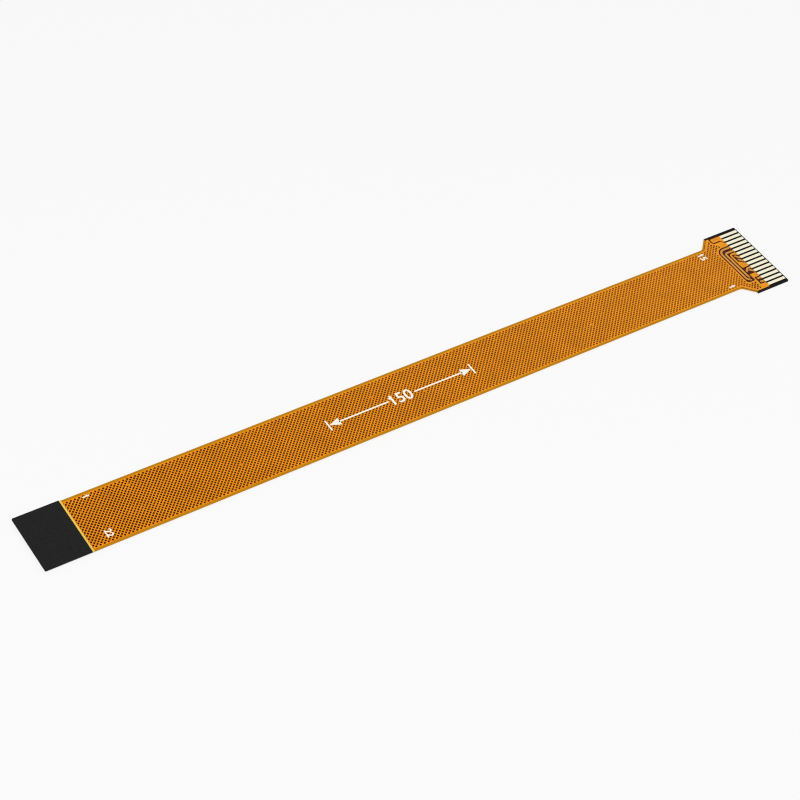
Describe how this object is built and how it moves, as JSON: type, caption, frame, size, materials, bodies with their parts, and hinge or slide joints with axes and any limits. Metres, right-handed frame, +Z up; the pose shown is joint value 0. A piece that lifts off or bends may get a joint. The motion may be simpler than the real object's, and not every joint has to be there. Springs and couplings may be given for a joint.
{
  "type": "flat flex cable",
  "caption": "Flat flexible jumper cable: hatched copper in amber film, a wide head with gold contacts at one end, a narrow black stiffened tail at the other.",
  "frame": {"origin": "middle of the cable's length and width, on the surface that it lies on", "axes": "+X runs from the 22-way end to the 15-way end, +Y across the cable from pin 22 to pin 1 of the 22-way end, +Z up, out of the face with the 15 gold contacts"},
  "size_m": [0.15, 0.016, 0.0005],
  "materials": {
    "film": "satin amber polyimide film",
    "coverlay": "clear amber polyimide film with a satin gloss",
    "adhesive": "clear amber epoxy film",
    "stiffener": "matt black",
    "copper": "rolled copper foil, etched, seen through amber film",
    "gold": "thin bright gold plating"
  },
  "bodies": {
    "root": {"base_film": "film", "ground_foil_top": "copper", "ground_islet": "copper", "supply_pad": "copper", "trace_11": "copper", "trace_12": "copper", "stub_2": "copper", "stub_3": "copper", "stub_5": "copper", "stub_6": "copper", "stub_8": "copper", "stub_9": "copper", "ground_foil_bottom": "copper", "line_2": "copper", "line_3": "copper", "line_5": "copper", "line_6": "copper", "line_8": "copper", "line_9": "copper", "line_20": "copper", "line_21": "copper", "supply_line": "copper", "spare_contacts": "copper", "via_barrels_ground": "copper", "via_barrels_signal": "copper", "via_barrels_supply": "copper", "gold_15": "gold", "gold_22": "gold", "coverlay_top": "coverlay", "coverlay_bottom": "coverlay", "stiffener_22": "stiffener", "stiffener_22_adhesive": "adhesive", "stiffener_15": "stiffener", "stiffener_15_adhesive": "adhesive"}
  },
  "joints": []
}
